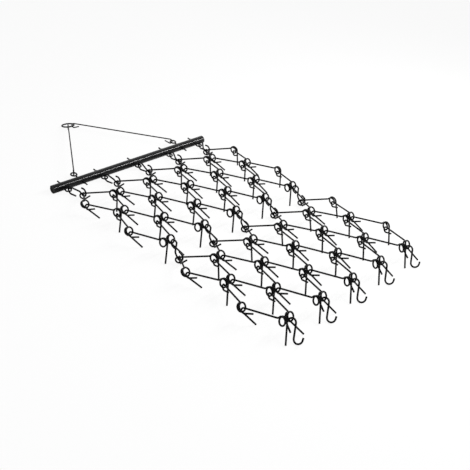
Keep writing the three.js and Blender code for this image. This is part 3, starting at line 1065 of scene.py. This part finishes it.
@dataclass
class TowTriangle:
    """Two straight rods and a round ring ahead of the drawbar."""

    sizes: BarSizes
    bar: Drawbar
    bend_radius: float = 10.0
    ring_sides: int = 18
    yaw: float = field(init=False)
    start: Vector = field(init=False)
    end: Vector = field(init=False)

    def __post_init__(self) -> None:
        """Works out the near rod's yaw, and where its two hinges are."""
        sizes = self.sizes
        self.yaw = math.atan2(sizes.tow_eye_offset, sizes.triangle_length)
        eye = self.bar.on_bar(sizes.tow_eye_reach)
        self.start = Vector((
            eye.x + sizes.eye_radius * math.cos(self.yaw),
            sizes.tow_eye_offset - sizes.eye_radius * math.sin(self.yaw),
            eye.z + sizes.eye_radius * math.cos(self.yaw) * math.sin(sizes.roll)))
        self.end = Vector((
            eye.x + sizes.triangle_length,
            sizes.ring_radius * math.sin(self.yaw),
            sizes.rod_eye_radius + sizes.rod_corner))

    def rod(self) -> MeshParts:
        """One tow rod.

        Returns:
            The rod along X, from the hinge at the bar to the hinge at the ring.
        """
        s = self.sizes
        length = (self.end - self.start).length
        up = Vector((0, 0, 1))
        path: list[Vector] = []
        for centre, way in ((s.rod_play, -1), (length - s.rod_play, 1)):
            middle, forward = Vector((centre, 0, 0)), Vector((way, 0, 0))
            tail = middle - forward * s.rod_tail + up * (s.rod_tail_rise - s.rod_eye_radius)
            eye = [tail, *arc(middle, forward, up, s.rod_eye_radius, -math.pi / 2, math.pi / 2)]
            path += eye if way < 0 else list(reversed(eye))
        parts = MeshParts()
        parts.bar(rounded(path, self.bend_radius), s.rod)
        return parts

    def ring(self) -> MeshParts:
        """The tow ring.

        Returns:
            The ring, flat in its own frame, with its hinge at the origin.
        """
        s = self.sizes
        rear = Vector((s.ring_radius * math.cos(self.yaw), 0, 0))
        nose = rear + Vector((s.ring_straight, 0, 0))
        ahead, left = Vector((1, 0, 0)), Vector((0, 1, 0))
        path = arc(rear, ahead, left, s.ring_radius, math.pi / 2, 1.5 * math.pi)
        path += arc(nose, ahead, left, s.ring_radius, -math.pi / 2, math.pi / 2)
        parts = MeshParts()
        parts.bar(path, s.ring_wire, closed=True, sides=self.ring_sides)
        return parts

    def build(self) -> None:
        """Makes both rods and the ring."""
        s = self.sizes
        run = self.end - self.start
        level = math.hypot(run.x, run.y)
        for i, side in enumerate((1, -1), 1):
            matrix = (
                Matrix.Translation((self.start.x, side * self.start.y, self.start.z))
                @ Matrix.Rotation(side * math.atan2(run.y, run.x), 4, "Z")
                @ Matrix.Rotation(math.atan2(-run.z, level), 4, "Y"))
            node = f"tow_rod_{i}"
            make_piece(f"{node}_bar", self.rod().moved(matrix), Slot.HARDWARE, "tow_rods", [node])
        reach = s.ring_radius * (1 + math.cos(self.yaw)) + s.ring_straight
        tilt = math.asin((self.end.z - s.ring_wire / 2) / reach)
        matrix = Matrix.Translation((self.end.x, 0, self.end.z)) @ Matrix.Rotation(tilt, 4, "Y")
        ring = self.ring().moved(matrix)
        make_piece("tow_ring_bar", ring, Slot.HARDWARE, "tow_ring", ["tow_ring"])


# ---------------------------------------------------------------- studio


@dataclass(frozen=True)
class Lamp:
    """A soft rectangular lamp, with its length across the harrow. Places are in metres."""

    name: str
    place: tuple[float, float, float]
    length: float
    width: float
    power: float

    def build(self, target: Vector) -> None:
        """Makes the lamp.

        Args:
            target: the place that the lamp is turned to.
        """
        data = bpy.data.lights.new(self.name, "AREA")
        data.shape = "RECTANGLE"
        data.size, data.size_y, data.energy = self.length, self.width, self.power
        away = (Vector(self.place) - target).normalized()
        across = Vector((0, 1, 0))
        across = (across - away * across.dot(away)).normalized()
        turned = Matrix((across, away.cross(across), away)).transposed().to_4x4()
        lamp = bpy.data.objects.new(self.name, data)
        lamp.matrix_world = Matrix.Translation(self.place) @ turned
        bpy.context.scene.collection.objects.link(lamp)


@dataclass(frozen=True)
class Studio:
    """Pale floor, white surround, soft lamps and the camera of the photograph."""

    # The camera's measured view: pixels, millimetres from the bar's middle, and angles.
    focal_px: float = 743.8
    frame_px: int = 470
    camera_from_bar: tuple[float, float, float] = (-3284.0, 2765.0, 2202.0)
    yaw: float = math.radians(-49.48)
    pitch: float = math.radians(-32.11)
    roll: float = math.radians(6.67)
    clip_end: float = 60.0
    white: Colour = linear_from_hex("#ffffff")
    card_white: Colour = linear_from_hex("#fafafa")
    # The floor's half width, and how far it lies below the tines, in metres.
    floor_half: float = 30.0
    floor_drop: float = 0.0005
    # The share of the white surround in the floor that the camera sees. The card's share keeps
    # the shadow, and the sum stays near 1, so that thin rods keep their width against it.
    floor_clearness: float = 0.92
    # The surround's strength as a light, and where the camera or a reflection sees it.
    surround_light: float = 0.3
    surround_seen: float = 1.0
    # The strip is placed so that its mirror image runs along the middle of the drawbar.
    lamps: tuple[Lamp, ...] = (
        Lamp("key_softbox", (-1.2, 2.6, 3.4), 2.6, 2.6, 14.0),
        Lamp("fill_softbox", (1.8, -2.8, 2.6), 2.4, 2.4, 8.0),
        Lamp("strip_softbox", (-1.47, -2.1, 2.26), 2.8, 0.14, 165.0),
    )

    def camera(self) -> None:
        """Makes the camera from the measured view."""
        ahead = Vector((math.cos(self.pitch) * math.cos(self.yaw),
                        math.cos(self.pitch) * math.sin(self.yaw), math.sin(self.pitch)))
        right = ahead.cross(Vector((0, 0, 1))).normalized()
        up = right.cross(ahead)
        c, s = math.cos(self.roll), math.sin(self.roll)
        across, top = right * c + up * s, up * c - right * s
        data = bpy.data.cameras.new("photo_camera")
        data.lens = self.focal_px / self.frame_px * data.sensor_width
        data.clip_end = self.clip_end
        camera = bpy.data.objects.new("photo_camera", data)
        place = (Vector(self.camera_from_bar) + ORIGIN + Vector((0, 0, BAR.radius))) * MM
        rotation = Matrix((across, top, -ahead)).transposed().to_4x4()
        camera.matrix_world = Matrix.Translation(place) @ rotation
        bpy.context.scene.collection.objects.link(camera)
        bpy.context.scene.camera = camera

    def floor(self) -> None:
        """A pale floor that keeps the shadow, and through which the camera sees the surround.

        Pieces that swing below the floor, as when the harrow is lifted, so stay in sight.
        """
        size = self.floor_half
        mesh = bpy.data.meshes.new("studio_floor")
        corners = [(-size, -size, 0), (size, -size, 0), (size, size, 0), (-size, size, 0)]
        mesh.from_pydata(corners, [], [(0, 1, 2, 3)])
        material = bpy.data.materials.new("matt_white_floor")
        material.use_nodes = True
        tree = material.node_tree
        tree.nodes.clear()
        path = add_node(tree, "ShaderNodeLightPath")
        card = add_node(tree, "ShaderNodeBsdfDiffuse", {"Color": self.card_white})
        clear = add_node(tree, "ShaderNodeBsdfTransparent", {"Color": self.white})
        seen = add_node(
            tree, "ShaderNodeMixShader", {0: self.floor_clearness},
            {1: card.outputs[0], 2: clear.outputs[0]})
        mixed = add_node(
            tree, "ShaderNodeMixShader", {},
            {0: path.outputs["Is Camera Ray"], 1: card.outputs[0], 2: seen.outputs[0]})
        add_node(tree, "ShaderNodeOutputMaterial", {}, {"Surface": mixed.outputs[0]})
        mesh.materials.append(material)
        floor = bpy.data.objects.new("studio_floor", mesh)
        floor.location.z = -self.floor_drop
        bpy.context.scene.collection.objects.link(floor)

    def surround(self) -> None:
        """A white world: full white where the camera looks, softer as a light."""
        world = bpy.data.worlds.new("white_surround")
        world.use_nodes = True
        tree = world.node_tree
        tree.nodes.clear()
        path = add_node(tree, "ShaderNodeLightPath")
        soft = add_node(
            tree, "ShaderNodeBackground", {"Color": self.white, "Strength": self.surround_light})
        seen = add_node(
            tree, "ShaderNodeBackground", {"Color": self.white, "Strength": self.surround_seen})
        mirrored = add_node(
            tree, "ShaderNodeMath", {"operation": "MAXIMUM"},
            {0: path.outputs["Is Glossy Ray"], 1: path.outputs["Is Transmission Ray"]})
        direct = add_node(
            tree, "ShaderNodeMath", {"operation": "MAXIMUM"},
            {0: path.outputs["Is Camera Ray"], 1: mirrored.outputs[0]})
        mixed = add_node(
            tree, "ShaderNodeMixShader", {},
            {0: direct.outputs[0], 1: soft.outputs[0], 2: seen.outputs[0]})
        add_node(tree, "ShaderNodeOutputWorld", {}, {"Surface": mixed.outputs[0]})
        bpy.context.scene.world = world

    def build(self) -> None:
        """Sets the camera, floor, surround and lamps, which are aimed at the origin."""
        self.camera()
        self.floor()
        self.surround()
        for lamp in self.lamps:
            lamp.build(Vector())
        bpy.context.scene.view_settings.view_transform = "Standard"


# ---------------------------------------------------------------- assembly


def build_mat(bar: Drawbar) -> None:
    """Builds the hooks and rows from the drawbar to the rear.

    Args:
        bar: the drawbar, which gives the first hooks their seats.
    """
    rows, hooks = MatRows(TineRods(MAT)), SHooks(MAT)
    columns = columns_at(MAT.columns, MAT.column_pitch)
    seat = bar.on_bar(-BAR.eye_reach - BAR.eye_radius)
    matrix = hooks.frame_at(seat, MAT.bar_hook_play, MAT.bar_hook_seat, MAT.front_height)
    bar_eyes = columns_at(MAT.columns, BAR.eye_pitch)
    hinge = hooks.build_set("bar_hook", "bar_hooks", matrix, MAT.bar_hook_leg, bar_eyes, columns)
    seat = rows.build_section(1, hinge)

    height = MAT.front_height - MAT.mid_loop_drop
    pull = hooks.pulled(seat, MAT.mid_hook_play, height)
    matrix = hooks.frame_at(seat, MAT.mid_hook_play, pull, height)
    places = [y - MAT.ring_spread - MAT.mid_hook_shift for y in columns]
    hinge = hooks.build_set("mid_hook", "mid_hooks", matrix, MAT.hook_leg, places, columns)
    hinge.z = MAT.front_height
    seat = rows.build_section(2, hinge)
    hooks.build_rear(seat, [y - MAT.ring_spread + MAT.rear_hook_shift for y in columns])


def main() -> None:
    """Builds the studio and the harrow."""
    logging.basicConfig(level=logging.INFO, format="%(name)s: %(message)s")
    Studio().build()
    bar = Drawbar(BAR)
    bar.build()
    TowTriangle(BAR, bar).build()
    build_mat(bar)


if __name__ == "__main__":
    main()
